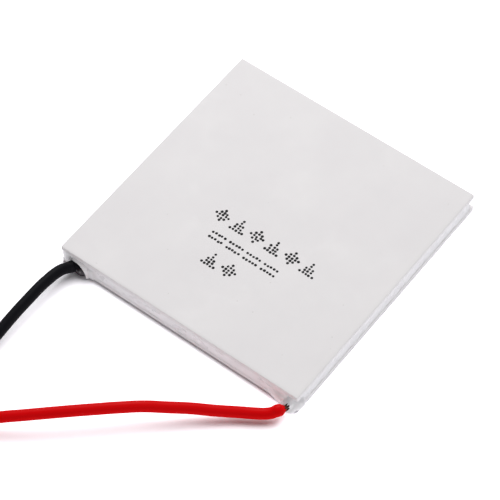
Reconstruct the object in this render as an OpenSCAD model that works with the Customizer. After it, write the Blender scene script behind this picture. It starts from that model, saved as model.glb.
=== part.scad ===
// Thermoelectric generator module: two ceramic plates with a field of
// semiconductor legs between them, a silicone edge seal and two soft leads.
// Millimetres, +Z up. The origin is the middle of the cold face, which lies on the bench.
// The leads leave on the -Y side: negative at the -X end, positive at the +X end.

/* [Ceramic plates] */
// Side of the square plates
plate_w = 40; // [24:0.5:60]
// Thickness of each plate
plate_t = 0.8; // [0.5:0.05:1.5]

/* [Legs] */
// Side of a square leg
leg_w = 1.4; // [0.8:0.05:1.6]
// Height of a leg
leg_h = 1.2; // [0.6:0.05:3]
// Distance between neighbouring legs, middle to middle
leg_pitch = 2.4; // [2:0.05:4]

/* [Copper bridges] */
// Width of a bridge
bridge_w = 1.6; // [1.2:0.05:1.9]
// Thickness of a bridge
bridge_t = 0.3; // [0.1:0.05:0.6]
// How far a bridge reaches past the middle of the leg at each end
bridge_reach = 0.8; // [0.7:0.05:0.9]
// Cut at each corner of a bridge
bridge_cut = 0.2; // [0.05:0.05:0.4]

/* [Edge seal] */
// How far the seal lies back from the plates' edges
seal_inset = 0.45; // [0.1:0.05:0.7]
// How far the seal lies back on the side of the leads
seal_lead_inset = 0.1; // [0.05:0.05:0.4]
// Distance from the plates' edges to the seal's inner face
seal_depth = 1.1; // [1:0.05:2]
// Depth of the hollow along the seal's outer face
seal_hollow = 0.2; // [0.05:0.05:0.25]
// Radius of the seal's bead where the negative lead comes out
negative_bead_r = 1.4; // [1.2:0.05:1.7]
// Radius of the bead where the positive lead comes out
positive_bead_r = 1.45; // [1.2:0.05:1.7]
// How far the negative lead's bead stands out of the plates' edges
negative_bead_proud = 0.3; // [0.2:0.05:0.8]
// How far the positive lead's bead stands out of the plates' edges
positive_bead_proud = 1.5; // [0.8:0.05:1.8]
// How far a lead's bead lies beside the knee of its core, towards +X
bead_shift = 0.2; // [0:0.05:0.4]
// How far the middle of a lead's bead lies below its core
bead_drop = 0.4; // [0.2:0.05:0.5]
// Gap between the beads and the bench
bead_lift = 0.1; // [0.05:0.05:0.3]
// Radius of the bead at the corner beside the positive lead
corner_bead_r = 1.25; // [0.9:0.05:1.4]
// How far the corner bead's middle lies in from both edges
corner_bead_in = 0.8; // [0.6:0.05:1]
// Gap between the seal and the field of legs
field_gap = 0.05; // [0.05:0.05:0.5]

/* [Leads] */
// Diameter of a lead over its sheath
wire_d = 1.6; // [1.2:0.1:2]
// Diameter of a lead's stranded core
core_d = 0.76; // [0.5:0.02:0.9]
// Bare core between its knee and the sheath
core_bare = 0.8; // [0.7:0.05:1.2]
// How far the core reaches past the middle of its terminal
core_reach = 0.6; // [0.2:0.05:0.75]
// How far the knee of a core lies beside its terminal, towards +X
knee_shift = 1; // [0:0.05:1.2]
// How far the knee of a core lies behind the front of its bead
knee_in = 0.35; // [0.2:0.05:0.45]
// How far the strands of a core spread at its knee
knee_swell = 0.06; // [0.04:0.01:0.15]
// Degrees from straight out towards -X at which a core meets its sheath
exit_turn = 36; // [0:1:45]
// Solder film between a terminal and a core
solder_t = 0.05; // [0.02:0.01:0.1]
// Radius of the solder fillet along a core
solder_r = 0.65; // [0.5:0.05:0.75]
// Solder over the inner end of a core
solder_cap = 0.1; // [0.05:0.05:0.3]
// Bare tinned end of a lead
tip_len = 5; // [3:0.5:10]

/* [Coils] */
// Diameter of the negative lead's coil at the middle of its turns
negative_coil_d = 19.2; // [17:0.2:21]
// Diameter of the positive lead's coil at the middle of its turns
positive_coil_d = 17; // [16:0.2:19]
// Thickness of the tie's band
tie_t = 0.3; // [0.2:0.05:0.6]
// Width of the tie's band
tie_w = 2.5; // [1.5:0.1:5]
// Play between the tie and the turns
tie_play = 0.1; // [0.1:0.05:0.4]
// Play between the two turns and the one on top of them
turn_play = 0.1; // [0.1:0.05:0.4]

/* [Hidden] */
$fn = 64;

// Heights of the stack, from the bench up
cold_bridge_z = plate_t;
leg_z = cold_bridge_z + bridge_t;
hot_bridge_z = leg_z + leg_h;
hot_plate_z = hot_bridge_z + bridge_t;
module_t = hot_plate_z + plate_t;
gap_h = hot_plate_z - plate_t;

// The field of legs: an even number of columns brings both terminals to the lead side
half_w = plate_w / 2;
field_half = half_w - seal_depth - field_gap;
fit_count = (2 * field_half - 2 * max(bridge_w / 2, bridge_reach)) / leg_pitch + 1;
columns = 2 * floor(fit_count / 2);
rows = floor(fit_count);
leg_count = columns * rows - 2;

function cell_x(column) = (column - (columns - 1) / 2) * leg_pitch;
function cell_y(row) = (row - (rows - 1) / 2) * leg_pitch;

// Columns run up and down in turn, so that the legs follow one another in a single chain.
// The first and the last column start one row in, where a lead takes the place of a leg.
function leg_column(leg) = leg < rows - 1 ? 0 : 1 + floor((leg - rows + 1) / rows);
function leg_step(leg) = leg < rows - 1 ? leg + 1 : (leg - rows + 1) % rows;
function leg_row(leg) = leg_column(leg) % 2 == 0 ? leg_step(leg) : rows - 1 - leg_step(leg);
function leg_place(leg) = [cell_x(leg_column(leg)), cell_y(leg_row(leg))];

// Cores: each lies on its terminal, bends at a knee inside its bead and ends where its sheath starts.
// Each list gives the negative lead first.
terminal_x = [cell_x(0), cell_x(columns - 1)];
bead_r = [negative_bead_r, positive_bead_r];
bead_proud = [negative_bead_proud, positive_bead_proud];
core_z = leg_z + solder_t + core_d / 2;
exit_angle = -90 - exit_turn;
function core_start(side) = [terminal_x[side], cell_y(0) + core_reach, core_z];
function knee(side) = [terminal_x[side] + knee_shift, knee_in - half_w - bead_proud[side], core_z];
function exit_point(side) = knee(side) + core_bare * heading(exit_angle);

// Points of each lead from its terminal's middle and the plates' edge:
// [sideways, outwards, height above lying flat]
wire_r = wire_d / 2;
tube_sides = 8;
exit_run = 0.4;
negative_route = [
  [0.05, -1.45, 0.9], [-0.2, -2.25, 1.2], [-0.35, -3.35, 1.45], [-0.45, -4.75, 1.6], [-0.5, -6.3, 1.7],
  [-0.5, -8.2, 1.7], [-0.5, -10.2, 1.65], [-0.5, -12.2, 1.5], [-0.45, -14.5, 1.3], [-0.4, -17, 1],
  [-0.4, -19.4, 0.7]
];
positive_route = [
  [-0.1, -2.6, 0.5], [-0.8, -3.2, 0.35], [-1.8, -3.9, 0.35], [-3.6, -5.05, 0.4], [-6.2, -6.9, 0.7],
  [-8.7, -8.7, 1.2], [-11.1, -10.65, 1.7], [-13.5, -12.55, 2.1], [-15.8, -14.6, 2.3], [-18.1, -16.7, 2.4],
  [-20.4, -18.75, 2.4], [-22.8, -20.85, 2.3], [-25.2, -22.85, 2.05], [-27.7, -24.85, 1.7], [-30.2, -27, 1.2],
  [-32.7, -29.1, 0.7]
];

// Coils: two turns side by side, held off the bench by the tie's band
coil_r = [negative_coil_d / 2, positive_coil_d / 2];
coil_z = tie_t + tie_play + wire_r;
// Height of a turn nested on top of the two, and of one that crosses straight over a turn
over_z = coil_z + wire_d * sqrt(3) / 2 + turn_play;
cross_z = coil_z + wire_d;
// Middle of each coil from its terminal and the plates' edge, heading on the way in and way round
coil_middle = [[-10.8, -23.5], [-31, -39.8]];
coil_heading = [270, 220];
coil_turn = [-1, 1];
entry_run = 2.4;
// Share of the wire's diameter that the ring has between its two turns
coil_waist = 0.7;
// Degrees in which every turn steps in by one wire, and in which the last one climbs on top
step_turn = 60;
climb_turn = 70;
// Degrees that the climbing turn rolls round the inner one, and between its points on top
climb_roll = 120;
top_step = 15;
// Degrees from the way in to where the free end runs straight off, and the length of that run
over_turn = [180, 140];
free_run = [23, 19.3];
// Points of the run: [distance, share of the height of a crossing]
free_steps = [[2, 0.96], [4, 1.02], [5.5, 0.96], [7, 0.74], [9, 0.44], [11, 0.18], [13, 0.04], [15.5, 0]];
// Degrees from the way in to the tie
tie_at = [125, 105];

function heading(angle) = [cos(angle), sin(angle), 0];
function ease(u) = (1 - cos(180 * u)) / 2;
function lead_origin(side) = [terminal_x[side], -half_w, 0];
function coil_origin(side) = lead_origin(side) + concat(coil_middle[side], 0);
// A point on a coil: degrees along the turns from the way in, radius and height
function coil_angle(side, turned) = coil_heading[side] + coil_turn[side] * (turned - 90);
function coil_point(side, turned, r, z) =
  coil_origin(side) + r * heading(coil_angle(side, turned)) + [0, 0, z];
function outer_r(side) = coil_r[side] + wire_r;
function inner_r(side) = coil_r[side] - wire_r;
// A turn's step in by one wire, from the given radius, straight at both ends
function turn_heading(side, turned) = heading(coil_heading[side] + coil_turn[side] * turned);
function step_point(side, r, u) =
  coil_point(side, (u - 1) * step_turn, r - ease(u) * wire_d, coil_z);
function step_path(side, r) = concat(
  [step_point(side, r, 0), step_point(side, r, 0) + exit_run * turn_heading(side, -step_turn)],
  [for (u = [0.25:0.25:0.75]) step_point(side, r, u)],
  [step_point(side, r, 1) - exit_run * turn_heading(side, 0), step_point(side, r, 1)]
);

function lead_path(side, route) = concat(
  [exit_point(side), exit_point(side) + exit_run * heading(exit_angle)],
  [for (p = route) lead_origin(side) + p + [0, 0, wire_r]],
  [coil_point(side, 0, outer_r(side), coil_z) - entry_run * heading(coil_heading[side])],
  [coil_point(side, 0, outer_r(side), coil_z)]
);

// The free end steps in, rolls over the inner turn, lies on top and runs straight off
function free_heading(side) = coil_heading[side] + coil_turn[side] * over_turn[side];
function free_point(side, run, share) =
  coil_point(side, over_turn[side], coil_r[side], wire_r + share * (cross_z - wire_r))
  + run * heading(free_heading(side));
function climb_point(side, u) =
  let (roll = 180 - climb_roll * u)
  coil_point(side, u * climb_turn, inner_r(side) + wire_d * cos(roll),
    coil_z + wire_d * sin(roll) + u * turn_play);
function free_path(side) = concat(
  step_path(side, inner_r(side)),
  [for (u = [0.25:0.25:1]) climb_point(side, u)],
  [for (turned = [climb_turn + top_step:top_step:over_turn[side]])
    coil_point(side, turned, coil_r[side], over_z)],
  [for (s = free_steps) free_point(side, s[0], s[1])],
  [free_point(side, free_run[side], 0)]
);

function unit(v) = v / norm(v);
function tangent(path, i) = unit(path[min(i + 1, len(path) - 1)] - path[max(i - 1, 0)]);
function tube_ring(path, i) =
  let (along = tangent(path, i), across = unit(cross([0, 0, 1], along)), up = cross(along, across))
  [for (k = [0.5:tube_sides]) path[i] + wire_r * (cos(360 * k / tube_sides) * across
    + sin(360 * k / tube_sides) * up)];

module tube(path) {
  last = len(path) - 1;
  polyhedron(
    points = [for (i = [0:last]) each tube_ring(path, i)],
    faces = concat(
      [[for (k = [0:tube_sides - 1]) k]],
      [for (i = [0:last - 1], k = [0:tube_sides - 1])
        let (next = (k + 1) % tube_sides, a = i * tube_sides, b = a + tube_sides)
        [a + k, b + k, b + next, a + next]],
      [[for (k = [tube_sides - 1:-1:0]) last * tube_sides + k]]
    )
  );
}

module plate() translate([-half_w, -half_w, 0]) cube([plate_w, plate_w, plate_t]);

module cold_plate() color("whitesmoke") plate();

module hot_plate() color("whitesmoke") translate([0, 0, hot_plate_z]) plate();

// A copper tab from the leg at one place to the leg at another
module bridge(from, to) {
  along = to - from;
  long = norm(along) / 2 + bridge_reach;
  wide = bridge_w / 2;
  c = bridge_cut;
  translate((from + to) / 2) rotate(atan2(along[1], along[0])) linear_extrude(bridge_t)
    polygon([[-long, c - wide], [c - long, -wide], [long - c, -wide], [long, c - wide],
      [long, wide - c], [long - c, wide], [c - long, wide], [-long, wide - c]]);
}

module cold_bridges() color("peru") translate([0, 0, cold_bridge_z])
  for (leg = [1:2:leg_count - 3]) bridge(leg_place(leg), leg_place(leg + 1));

module hot_bridges() color("peru") translate([0, 0, hot_bridge_z])
  for (leg = [0:2:leg_count - 2]) bridge(leg_place(leg), leg_place(leg + 1));

module negative_terminal() color("peru") translate([0, 0, cold_bridge_z])
  bridge([cell_x(0), cell_y(0)], leg_place(0));

module positive_terminal() color("peru") translate([0, 0, cold_bridge_z])
  bridge([cell_x(columns - 1), cell_y(0)], leg_place(leg_count - 1));

module legs(first) translate([0, 0, leg_z])
  for (leg = [first:2:leg_count - 1])
    translate(concat(leg_place(leg) - [leg_w, leg_w] / 2, 0)) cube([leg_w, leg_w, leg_h]);

module n_legs() color("dimgray") legs(0);

module p_legs() color("slategray") legs(1);

// A round rod from one point to another
module rod(from, to, r) {
  along = to - from;
  translate(from) rotate([0, acos(along[2] / norm(along)), atan2(along[1], along[0])])
    cylinder(r = r, h = norm(along));
}

// A core, or the room for one, from its inner end round its knee to its sheath
module core(side) {
  rod(core_start(side), knee(side), core_d / 2);
  translate(knee(side)) sphere(core_d / 2 + knee_swell);
  rod(knee(side), exit_point(side), core_d / 2);
}

module negative_core() color("darkgoldenrod") core(0);

module positive_core() color("darkgoldenrod") core(1);

// A fillet along a core, as far as its terminal reaches
module solder(side) {
  down = [0, 0, leg_z - core_z];
  cap = solder_cap * unit(core_start(side) - knee(side));
  difference() {
    intersection() {
      rod(core_start(side) + cap + down, knee(side) + down, solder_r);
      translate([terminal_x[side] - bridge_w / 2, cell_y(0) - bridge_reach, leg_z])
        cube([bridge_w, leg_pitch + 2 * bridge_reach, solder_r]);
    }
    core(side);
  }
}

module negative_solder() color("silver") solder(0);

module positive_solder() color("silver") solder(1);

// The seal: a ring between the plates, hollow along three sides, with beads at the leads
module seal_ring() {
  outer = half_w - seal_inset;
  lead_outer = half_w - seal_lead_inset;
  inner = half_w - seal_depth;
  hollow_r = (gap_h * gap_h / 4 + seal_hollow * seal_hollow) / (2 * seal_hollow);
  hollow_at = outer - seal_hollow + hollow_r;
  difference() {
    translate([-outer, -lead_outer, plate_t]) cube([2 * outer, outer + lead_outer, gap_h]);
    translate([-inner, -inner, 0]) cube([2 * inner, 2 * inner, module_t]);
    for (turn = [0, 90, 180]) rotate(turn) translate([hollow_at, 0, module_t / 2])
      rotate([90, 0, 0]) cylinder(r = hollow_r, h = 2 * plate_w, center = true);
  }
}

// Beads stay outside the field of legs and off the bench
module lead_bead(side)
  translate([knee(side)[0] + bead_shift, bead_r[side] - bead_proud[side] - half_w, core_z - bead_drop])
    sphere(bead_r[side]);

module seal_beads() difference() {
  union() {
    for (side = [0, 1]) lead_bead(side);
    translate([half_w - corner_bead_in, corner_bead_in - half_w, core_z]) sphere(corner_bead_r);
  }
  translate([seal_depth - half_w, seal_depth - half_w, 0])
    cube([plate_w - 2 * seal_depth, plate_w, module_t]);
  translate([-plate_w, -plate_w, bead_lift - plate_w]) cube([2 * plate_w, 2 * plate_w, plate_w]);
}

module edge_seal() color("white") difference() {
  union() {
    seal_ring();
    seal_beads();
  }
  cold_plate();
  hot_plate();
  core(0);
  core(1);
}

// A lead from its sheath's end to its coil, and the step from the coil's first turn to its second
module lead(side, route) {
  tube(lead_path(side, route));
  tube(step_path(side, outer_r(side)));
}

module negative_lead() color("black") lead(0, negative_route);

module positive_lead() color("crimson") lead(1, positive_route);

// Two turns side by side, open where they step in by one wire
module coil(side) translate(coil_origin(side))
  rotate(min(coil_angle(side, 0), coil_angle(side, 360 - step_turn)))
    rotate_extrude(angle = 360 - step_turn) translate([coil_r[side], coil_z]) {
      for (x = [-wire_r, wire_r]) translate([x, 0]) circle(wire_r);
      square([wire_d, coil_waist * wire_d], center = true);
    }

module negative_coil() color("black") coil(0);

module positive_coil() color("crimson") coil(1);

module negative_free_end() color("black") tube(free_path(0));

module positive_free_end() color("crimson") tube(free_path(1));

module tip(side) translate(free_point(side, free_run[side], 0))
  rotate([0, 90, free_heading(side)]) cylinder(d = core_d, h = tip_len);

module negative_tip() color("silver") tip(0);

module positive_tip() color("silver") tip(1);

// A band round the two turns and the one on top of them, resting on the bench
module turns_outline(side, r) hull() {
  for (x = [-wire_r, wire_r]) translate([coil_r[side] + x, coil_z]) circle(r, $fn = 32);
  translate([coil_r[side], over_z]) circle(r, $fn = 32);
}

module tie(side) {
  wide = tie_w / coil_r[side] * 180 / PI;
  translate(coil_origin(side)) rotate(coil_angle(side, tie_at[side]) - wide / 2)
    rotate_extrude(angle = wide) difference() {
      turns_outline(side, wire_r + tie_play + tie_t);
      turns_outline(side, wire_r + tie_play);
    }
}

module negative_tie() color("white") tie(0);

module positive_tie() color("white") tie(1);

cold_plate();
hot_plate();
cold_bridges();
hot_bridges();
negative_terminal();
positive_terminal();
n_legs();
p_legs();
edge_seal();
negative_solder();
positive_solder();
negative_core();
positive_core();
negative_lead();
positive_lead();
negative_coil();
positive_coil();
negative_free_end();
positive_free_end();
negative_tip();
positive_tip();
negative_tie();
positive_tie();
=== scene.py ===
# %% [markdown]
# # A thermoelectric generator module
#
# A flat white sandwich: two alumina plates hold a field of bismuth telluride legs, silicone rubber
# closes the edge, and a black and a red lead carry the current away. The solids come from the CAD
# model. This lesson gives them their surfaces, and makes what is too soft or too fine for solids.

# %% The frame
import math
import random

import bmesh
import bpy
from mathutils import Matrix, Vector, noise


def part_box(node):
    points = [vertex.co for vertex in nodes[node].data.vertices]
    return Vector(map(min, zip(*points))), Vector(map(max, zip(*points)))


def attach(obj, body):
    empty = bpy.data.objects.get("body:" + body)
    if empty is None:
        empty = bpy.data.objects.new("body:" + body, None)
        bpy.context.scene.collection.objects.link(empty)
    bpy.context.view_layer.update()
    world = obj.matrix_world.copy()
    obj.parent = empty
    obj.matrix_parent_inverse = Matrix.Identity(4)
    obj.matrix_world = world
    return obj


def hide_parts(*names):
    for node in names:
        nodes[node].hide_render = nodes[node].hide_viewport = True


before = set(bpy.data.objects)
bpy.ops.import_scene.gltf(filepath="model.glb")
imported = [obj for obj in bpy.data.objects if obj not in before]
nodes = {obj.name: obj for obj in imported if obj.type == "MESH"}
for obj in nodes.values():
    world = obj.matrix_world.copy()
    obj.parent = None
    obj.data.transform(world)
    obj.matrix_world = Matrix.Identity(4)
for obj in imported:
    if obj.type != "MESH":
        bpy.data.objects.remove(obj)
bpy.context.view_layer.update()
MM = 0.001
UP = Vector((0, 0, 1))

# %% [markdown]
# ## The camera
#
# A camera can be dragged about until the picture looks right, or it can be worked out. Here the four
# corners of the upper face and the lower edges were measured in the photograph, and the one camera
# that puts a 40 mm square on them was solved for. A long lens far away fits best.

# %% Camera
PHOTO_SIDE = 500  # pixels
FOCAL_LENGTH = 2507  # pixels
CAMERA_AT = Vector((122.5, -148.7, 283.4)) * MM
CAMERA_AZIMUTH = math.radians(40.29)
CAMERA_ELEVATION = math.radians(56.12)
CAMERA_ROLL = math.radians(-3.17)


def camera_axes(azimuth, elevation, roll):
    """Right, up and back of a camera that looks at the object from that direction."""
    level = math.cos(elevation)
    back = Vector((math.sin(azimuth) * level, -math.cos(azimuth) * level, math.sin(elevation)))
    flat = Vector((math.cos(azimuth), math.sin(azimuth), 0))
    right = flat * math.cos(roll) + back.cross(flat) * math.sin(roll)
    return right, back.cross(right), back


def new_object(name, data):
    made = bpy.data.objects.new(name, data)
    bpy.context.collection.objects.link(made)
    return made


camera = new_object("camera", bpy.data.cameras.new("camera"))
camera.data.lens = FOCAL_LENGTH / PHOTO_SIDE * camera.data.sensor_width
axes = camera_axes(CAMERA_AZIMUTH, CAMERA_ELEVATION, CAMERA_ROLL)
camera.matrix_world = Matrix.Translation(CAMERA_AT) @ Matrix(axes).transposed().to_4x4()
bpy.context.scene.camera = camera
print("camera:", round(camera.data.lens, 1), "mm lens")

# %% [markdown]
# ## The leads
#
# Each lead is 200 mm of stranded hook-up wire. It leaves the module, runs across the bench as in the
# photograph, and is put away in a small tied coil where its free end crosses the turns. A cord like
# this could be simulated, but a curve through chosen points is exact and quick: the loose stretch is
# a short list of points, and the coil is a loop. Blender then sweeps a circle along the curve.

# %% Routes of the leads
# Places are in millimetres from the plate's edge in front of the lead's tab: [x, y], or in a route
# [x, y, height above lying flat]. Angles are in degrees. The heading is the way into the coil, turn is
# 1 where the coil runs anticlockwise, and over_turn is where its last turn, the one on top, ends.
LEADS = {
    "negative": {
        "colour": "black",
        "knee": [1, 0.05],
        "route": [
            [0.05, -1.45, 0.9], [-0.2, -2.25, 1.2], [-0.35, -3.35, 1.45], [-0.45, -4.75, 1.6],
            [-0.5, -6.3, 1.7], [-0.5, -8.2, 1.7], [-0.5, -10.2, 1.65], [-0.5, -12.2, 1.5],
            [-0.45, -14.5, 1.3], [-0.4, -17, 1], [-0.4, -19.4, 0.7],
        ],
        "coil_middle": [-10.8, -23.5], "coil_r": 9.6, "heading": 270, "turn": -1,
        "over_turn": 180, "free_run": 23, "tie_at": 125, "sheath": 194.2,
    },
    "positive": {
        "colour": "red",
        "knee": [1, -1.15],
        "route": [
            [-0.1, -2.6, 0.5], [-0.8, -3.2, 0.35], [-1.8, -3.9, 0.35], [-3.6, -5.05, 0.4],
            [-6.2, -6.9, 0.7], [-8.7, -8.7, 1.2], [-11.1, -10.65, 1.7], [-13.5, -12.55, 2.1],
            [-15.8, -14.6, 2.3], [-18.1, -16.7, 2.4], [-20.4, -18.75, 2.4], [-22.8, -20.85, 2.3],
            [-25.2, -22.85, 2.05], [-27.7, -24.85, 1.7], [-30.2, -27, 1.2], [-32.7, -29.1, 0.7],
        ],
        "coil_middle": [-31, -39.8], "coil_r": 8.5, "heading": 220, "turn": 1,
        "over_turn": 140, "free_run": 19.3, "tie_at": 105, "sheath": 193,
    },
}
CORE_BARE = 0.8  # from the knee to the sheath
EXIT_TURN = math.radians(36)
EXIT_HEADING = Vector((-math.sin(EXIT_TURN), -math.cos(EXIT_TURN), 0))
EXIT_RUN = 0.4
ENTRY_RUN = 2.4
FLAT_TURNS = 2
POINT_TURN = 15  # from one point of a turn to the next
STEP_TURN = 60  # in which a turn steps in by one wire
CLIMB_TURN = 70  # in which the last turn climbs on top
CLIMB_ROLL = 120  # round the wire that it climbs over
CLIMB_STEPS = 4
TURN_PLAY = 0.1
FREE_STEPS = [  # run along the free end, share of the height at which it crosses the turns
    [2, 0.96], [4, 1.02], [5.5, 0.96], [7, 0.74], [9, 0.44], [11, 0.18], [13, 0.04], [15.5, 0],
]

plate_low, plate_high = (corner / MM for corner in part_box("cold_plate"))
coil_low, coil_high = (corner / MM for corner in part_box("negative_coil"))
wire_d = coil_high.z - coil_low.z
wire_r = wire_d / 2
coil_z = coil_low.z + wire_r
over_z = coil_z + wire_d * math.sqrt(3) / 2 + TURN_PLAY
cross_z = coil_z + wire_d
print("routes:", [len(lead["route"]) for lead in LEADS.values()], "points outside the coils")

# %% Lines of the leads
def lead_origin(side):
    """The plate's edge in front of a lead's tab."""
    low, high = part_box(f"{side}_terminal")
    return Vector(((low.x + high.x) / 2 / MM, plate_low.y, 0))


def lead_knee(side):
    """Where the bare core bends, inside its bead of silicone."""
    low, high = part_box(f"{side}_core")
    x, y = LEADS[side]["knee"]
    return lead_origin(side) + Vector((x, y, (low.z + high.z) / 2 / MM))


def sheath_start(side):
    return lead_knee(side) + EXIT_HEADING * CORE_BARE


def flat_way(degrees):
    angle = math.radians(degrees)
    return Vector((math.cos(angle), math.sin(angle), 0))


def coil_point(side, turned, r, z):
    """A point on a coil, so many degrees along the turns from the way in."""
    lead = LEADS[side]
    middle = lead_origin(side) + Vector((*lead["coil_middle"], z))
    return middle + flat_way(lead["heading"] + lead["turn"] * (turned - 90)) * r


def turn_radius(side, turned):
    """Radius of the flat turns: each steps in by one wire on its last stretch."""
    whole, part = divmod(turned, 360)
    stepped = max(0, part - 360 + STEP_TURN) / STEP_TURN
    return LEADS[side]["coil_r"] + wire_r - wire_d * (whole + (1 - math.cos(math.pi * stepped)) / 2)


def climb_point(side, u):
    """A point of the climb to the turn on top, as u goes from 0 to 1."""
    roll = math.radians(180 - CLIMB_ROLL * u)
    r = LEADS[side]["coil_r"] - wire_r + wire_d * math.cos(roll)
    return coil_point(side, u * CLIMB_TURN, r, coil_z + wire_d * math.sin(roll) + u * TURN_PLAY)


def shares(steps):
    """Even steps from 0 to 1."""
    return [k / steps for k in range(steps + 1)]


def lead_points(side):
    """The whole line of a lead's sheath."""
    lead = LEADS[side]
    origin = lead_origin(side)
    start = sheath_start(side)
    entry = coil_point(side, 0, turn_radius(side, 0), coil_z)
    points = [start, start + EXIT_HEADING * EXIT_RUN]
    points += [origin + Vector((x, y, wire_r + lift)) for x, y, lift in lead["route"]]
    points += [entry - ENTRY_RUN * flat_way(lead["heading"]), entry]
    flat = range(POINT_TURN, 360 * FLAT_TURNS, POINT_TURN)
    points += [coil_point(side, turned, turn_radius(side, turned), coil_z) for turned in flat]
    points += [climb_point(side, u) for u in shares(CLIMB_STEPS)]
    over = range(CLIMB_TURN + POINT_TURN, lead["over_turn"] + 1, POINT_TURN)
    points += [coil_point(side, turned, lead["coil_r"], over_z) for turned in over]
    leave = coil_point(side, lead["over_turn"], lead["coil_r"], wire_r)
    free_way = flat_way(lead["heading"] + lead["turn"] * lead["over_turn"])
    for run, share in [*FREE_STEPS, [lead["free_run"], 0]]:
        points.append(leave + run * free_way + UP * share * (cross_z - wire_r))
    return points


def distances(line):
    """How far along a line each of its points lies."""
    runs = [0]
    for a, b in zip(line, line[1:]):
        runs.append(runs[-1] + (b - a).length)
    return runs


for side in LEADS:
    line = lead_points(side)
    print(side, "lead:", len(line), "points,", round(distances(line)[-1], 1), "mm of sheath")

# %% Leads
def lead_piece(side):
    colour = LEADS[side]["colour"]
    curve = bpy.data.curves.new(f"{colour}_lead", "CURVE")
    curve.dimensions = "3D"
    curve.bevel_depth = 1  # metre, times the radius of each point
    curve.bevel_resolution = 6
    curve.resolution_u = 6
    curve.use_fill_caps = True
    line = lead_points(side)
    spline = curve.splines.new("BEZIER")
    spline.bezier_points.add(len(line) - 1)
    for knot, point in zip(spline.bezier_points, line):
        knot.co = point * MM
        knot.radius = wire_r * MM
        knot.handle_left_type = "AUTO"
        knot.handle_right_type = "AUTO"
    piece = new_object(f"{colour}_lead", curve)
    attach(piece, "root")
    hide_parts(f"{side}_lead", f"{side}_coil", f"{side}_free_end")
    return piece


leads = {side: lead_piece(side) for side in LEADS}
print("leads:", [piece.name for piece in leads.values()], "of", round(wire_d, 2), "mm wire")

# %% [markdown]
# ## Helpers for hand-made meshes
#
# Most of the pieces below are rows of rings: strands, ties, plates, the seal. One helper turns points
# and faces into an object that rides on the module, and others sweep a round tube or bar along a line.
# A curve with a bevel could do the bars too, but several bars are one piece only if they are one mesh.

# %% Meshes from rings
def mesh_piece(name, points, faces, slot=None, replaced=(), sharp_over=60):
    """A piece from points in millimetres, smooth apart from edges over so many degrees."""
    mesh = bpy.data.meshes.new(name)
    mesh.from_pydata([point * MM for point in points], [], faces)
    skin = bmesh.new()
    skin.from_mesh(mesh)
    bmesh.ops.recalc_face_normals(skin, faces=skin.faces)
    skin.to_mesh(mesh)
    skin.free()
    mesh.shade_smooth()
    mesh.set_sharp_from_angle(angle=math.radians(sharp_over))
    piece = new_object(name, mesh)
    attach(piece, "root")
    if replaced:
        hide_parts(*replaced)
    return piece


def ring_faces(rings, sides, closed=False):
    """Faces from each ring of points to the next, and back to the first if closed."""
    faces = []
    for ring in range(rings if closed else rings - 1):
        here, there = ring * sides, (ring + 1) % rings * sides
        for k in range(sides):
            after = (k + 1) % sides
            faces.append((here + k, here + after, there + after, there + k))
    return faces


def capped(points, sides):
    """The end faces of a row of rings."""
    return [tuple(range(sides)), tuple(range(len(points) - sides, len(points)))]


def join(parts):
    """Several lists of points and faces as one."""
    points, faces = [], []
    for more_points, more_faces in parts:
        faces += [tuple(len(points) + k for k in face) for face in more_faces]
        points += more_points
    return points, faces


def face_counts(pieces):
    return [len(piece.data.polygons) for piece in pieces]


print("mesh helpers: ready")

# %% Tubes and bars
BAR_EASE = ((0.0, 0.55), (0.25, 0.85), (0.6, 1.0))  # run from a bar's end and radius there, in radii


def headings(line):
    """The way on at each point of a line."""
    last = len(line) - 1
    return [(line[min(k + 1, last)] - line[max(k - 1, 0)]).normalized() for k in range(last + 1)]


def squares(ways):
    """Two directions square to each heading, carried along the line without a twist."""
    across = ways[0].orthogonal().normalized()
    pairs = []
    for way in ways:
        across = (across - way * across.dot(way)).normalized()
        pairs.append((across, way.cross(across)))
    return pairs


def around(across, up, turn):
    """The direction at an angle from across towards up."""
    return across * math.cos(turn) + up * math.sin(turn)


def tube(rings, sides):
    """A closed tube through rings, each with its middle, heading and radius."""
    points = []
    for (middle, _, r), (across, up) in zip(rings, squares([way for _, way, _ in rings])):
        points += [middle + around(across, up, 2 * math.pi * k / sides) * r for k in range(sides)]
    return points, ring_faces(len(rings), sides) + capped(points, sides)


def bar(line, r, sides):
    """A round bar with eased ends along a line of points."""
    ways = headings(line)
    rings = [(line[0] + ways[0] * r * run, ways[0], r * share) for run, share in BAR_EASE]
    rings += [(point, way, r) for point, way in zip(line[1:-1], ways[1:-1])]
    rings += [(line[-1] - ways[-1] * r * run, ways[-1], r * share) for run, share in reversed(BAR_EASE)]
    return tube(rings, sides)


def even_line(corners, step):
    """A line of short steps through the corners."""
    line = [corners[0]]
    for a, b in zip(corners, corners[1:]):
        count = max(1, round((b - a).length / step))
        line += [a.lerp(b, u) for u in shares(count)[1:]]
    return line


def smooth(low, high, value):
    """0 at low, 1 at high and an S curve between."""
    u = min(max((value - low) / (high - low), 0), 1)
    return u * u * (3 - 2 * u)


def mix(ends, u):
    """The first end where u is 0, the second where it is 1."""
    return ends[0] + (ends[1] - ends[0]) * u


print("tube helpers: ready")

# %% [markdown]
# ## Bare strands
#
# Under its sheath the wire is seven copper strands, six twisted round one. They show where the sheath
# stops short of the silicone. A striped material on a rod would do from afar, but the strands open a
# little at the red lead, so each is a bar along a helix.

# %% Bare cores
STRANDS = 6
STRAND_LAY = 11  # millimetres for one twist
STRAND_STEP = 0.2
CORE_SIDES = 10
KNEE_EASE = 0.35
KNEE_STEPS = 4
SHEATH_TUCK = 0.2
CORE_SPREAD = {"negative": 0, "positive": 0.35}  # by which the strands open where the sheath ends
CORE_SPREAD_RUN = (1.7, 0.6)  # from the core's end


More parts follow.
